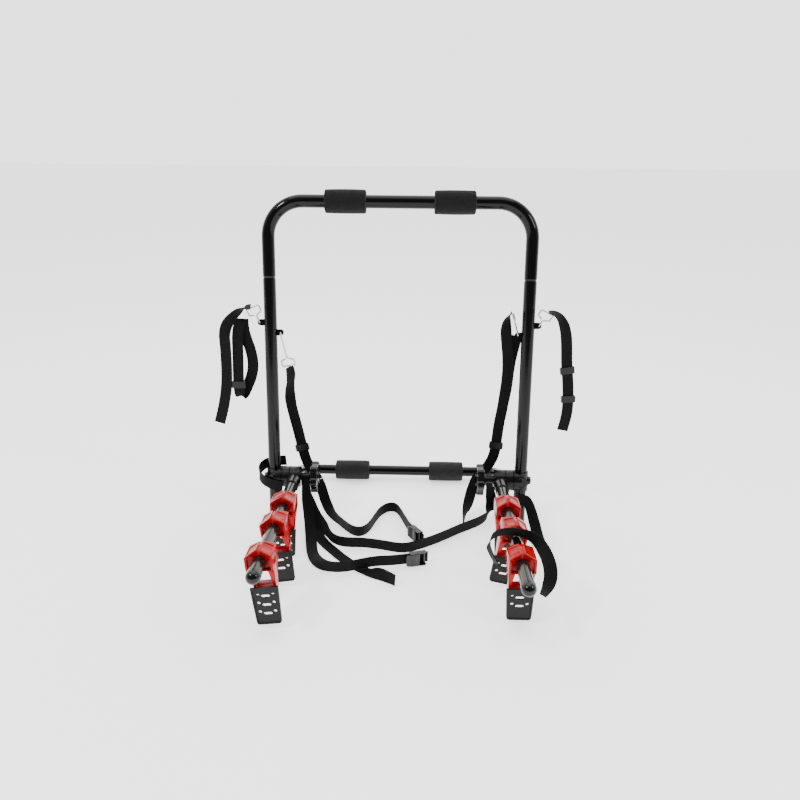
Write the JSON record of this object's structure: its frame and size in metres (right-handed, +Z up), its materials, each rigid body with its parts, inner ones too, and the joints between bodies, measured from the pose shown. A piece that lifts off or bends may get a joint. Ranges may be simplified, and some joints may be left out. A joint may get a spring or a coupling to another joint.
{
  "type": "trunk mounted bike rack",
  "caption": "Folding bicycle carrier for a car's trunk: padded tube hoop, padded lower frame, carrying arms with red saddles, ladder straps and webbing with hooks and cam buckles.",
  "frame": {"origin": "on the ground, under the middle of the rack, without its straps", "axes": "+X to the rack's right as a person behind the car sees it, +Y towards the car, +Z up"},
  "size_m": [0.8258, 0.6928, 0.7446],
  "materials": {
    "black_coat": "glossy black powder coat",
    "arm_coat": "semi-gloss grey coat",
    "pad_cover": "matte dark grey cover over foam",
    "foam": "matte dark grey foam",
    "hub_plastic": "satin black moulding",
    "knob_plastic": "glossy black moulding",
    "cradle_plastic": "glossy red moulding",
    "strap_rubber": "satin black rubber",
    "wire": "bright plated wire",
    "bright_steel": "bright zinc plate",
    "brass": "plain brass",
    "webbing": "woven dark grey webbing"
  },
  "bodies": {
    "main_frame": {"upper_hoop": "black_coat", "left_leg": "black_coat", "right_leg": "black_coat", "left_upper_pad": "pad_cover", "right_upper_pad": "pad_cover", "leg_end_plugs": "hub_plastic", "left_hub_housing": "hub_plastic", "right_hub_housing": "hub_plastic", "pivot_bolts": "bright_steel", "spacer_sleeves": "hub_plastic", "strap_anchors": "black_coat", "strap_hooks": "wire", "left_outer_buckle": "hub_plastic", "right_outer_buckles": "hub_plastic", "ladder_locks": "hub_plastic", "front_cam_buckle": "bright_steel", "rear_cam_buckle": "bright_steel", "left_outer_strap": "webbing", "left_outer_loop": "webbing", "left_inner_strap": "webbing", "right_inner_strap": "webbing", "right_outer_strap": "webbing", "lower_strap_front": "webbing", "lower_strap_middle": "webbing", "lower_strap_back": "webbing", "lower_strap_right": "webbing", "lower_strap_tail": "webbing", "left_hub_strap": "webbing", "right_hub_strap": "webbing"},
    "lower_stay": {"lower_frame": "black_coat", "lower_frame_discs": "hub_plastic", "left_lower_pad": "foam", "right_lower_pad": "foam"},
    "left_carrying_arm": {"left_arm": "arm_coat", "left_arm_hub": "hub_plastic", "left_arm_cap": "knob_plastic"},
    "right_carrying_arm": {"right_arm": "arm_coat", "right_arm_hub": "hub_plastic", "right_arm_cap": "knob_plastic", "right_arm_strap": "webbing"},
    "left_clamp_knob": {"left_knob": "knob_plastic", "left_knob_insert": "brass"},
    "right_clamp_knob": {"right_knob": "knob_plastic", "right_knob_insert": "brass"},
    "left_button": {"left_snap_button": "bright_steel"},
    "right_button": {"right_snap_button": "bright_steel"},
    "front_lever": {"front_cam_lever": "bright_steel"},
    "rear_lever": {"rear_cam_lever": "bright_steel"},
    "left_rear_saddle": {"left_rear_cradle": "cradle_plastic", "left_rear_ladder_strap": "strap_rubber"},
    "left_middle_saddle": {"left_middle_cradle": "cradle_plastic", "left_middle_ladder_strap": "strap_rubber"},
    "left_front_saddle": {"left_front_cradle": "cradle_plastic", "left_front_ladder_strap": "strap_rubber"},
    "right_rear_saddle": {"right_rear_cradle": "cradle_plastic", "right_rear_ladder_strap": "strap_rubber"},
    "right_middle_saddle": {"right_middle_cradle": "cradle_plastic", "right_middle_ladder_strap": "strap_rubber"},
    "right_front_saddle": {"right_front_cradle": "cradle_plastic", "right_front_ladder_strap": "strap_rubber"}
  },
  "joints": [
    {"name": "lower_stay_hinge", "type": "hinge", "parent": "main_frame", "child": "lower_stay", "pos_m": [0, 0.11245, 0.10887], "axis": [1, 0, 0], "range_deg": [-65, 15]},
    {"name": "left_arm_hinge", "type": "hinge", "parent": "main_frame", "child": "left_carrying_arm", "pos_m": [-0.2358, 0.11245, 0.10887], "axis": [-1, 0, 0], "range_deg": [0, 60]},
    {"name": "left_knob_turn", "type": "hinge", "parent": "main_frame", "child": "left_clamp_knob", "pos_m": [-0.19, 0.11245, 0.10887], "axis": [1, 0, 0], "continuous": true},
    {"name": "left_button_press", "type": "slide", "parent": "main_frame", "child": "left_button", "axis": [0, -0.9903, 0.1392], "range_m": [0, 0.004], "stiffness_N_per_m": 1500, "springref_m": -0.001},
    {"name": "right_arm_hinge", "type": "hinge", "parent": "main_frame", "child": "right_carrying_arm", "pos_m": [0.2358, 0.11245, 0.10887], "axis": [-1, 0, 0], "range_deg": [0, 60]},
    {"name": "right_knob_turn", "type": "hinge", "parent": "main_frame", "child": "right_clamp_knob", "pos_m": [0.19, 0.11245, 0.10887], "axis": [1, 0, 0], "continuous": true},
    {"name": "right_button_press", "type": "slide", "parent": "main_frame", "child": "right_button", "axis": [0, -0.9903, 0.1392], "range_m": [0, 0.004], "stiffness_N_per_m": 1500, "springref_m": -0.001},
    {"name": "left_rear_saddle_swivel", "type": "hinge", "parent": "left_carrying_arm", "child": "left_rear_saddle", "pos_m": [-0.2358, -0.03914, 0.12], "axis": [0, -0.9973, 0.0732], "range_deg": [-20, 20]},
    {"name": "left_middle_saddle_swivel", "type": "hinge", "parent": "left_carrying_arm", "child": "left_middle_saddle", "pos_m": [-0.2358, -0.13588, 0.12711], "axis": [0, -0.9973, 0.0732], "range_deg": [-28, 12]},
    {"name": "left_front_saddle_swivel", "type": "hinge", "parent": "left_carrying_arm", "child": "left_front_saddle", "pos_m": [-0.2358, -0.26454, 0.13656], "axis": [0, -0.9973, 0.0732], "range_deg": [-26, 14]},
    {"name": "right_rear_saddle_swivel", "type": "hinge", "parent": "right_carrying_arm", "child": "right_rear_saddle", "pos_m": [0.2358, -0.0324, 0.11545], "axis": [0, -0.999, 0.0454], "range_deg": [-20, 20]},
    {"name": "right_middle_saddle_swivel", "type": "hinge", "parent": "right_carrying_arm", "child": "right_middle_saddle", "pos_m": [0.2358, -0.1323, 0.11999], "axis": [0, -0.999, 0.0454], "range_deg": [-8, 32]},
    {"name": "right_front_saddle_swivel", "type": "hinge", "parent": "right_carrying_arm", "child": "right_front_saddle", "pos_m": [0.2358, -0.23919, 0.12484], "axis": [0, -0.999, 0.0454], "range_deg": [-20, 20]},
    {"name": "front_lever_hinge", "type": "hinge", "parent": "main_frame", "child": "front_lever", "pos_m": [0.049, -0.07721, 0.0162], "axis": [0, 0, 1], "range_deg": [0, 70], "stiffness_Nm_per_rad": 0.15, "springref_deg": -17.19},
    {"name": "rear_lever_hinge", "type": "hinge", "parent": "main_frame", "child": "rear_lever", "pos_m": [0.04294, 0.0176, 0.0162], "axis": [0, 0, 1], "range_deg": [0, 70], "stiffness_Nm_per_rad": 0.15, "springref_deg": -17.19}
  ]
}
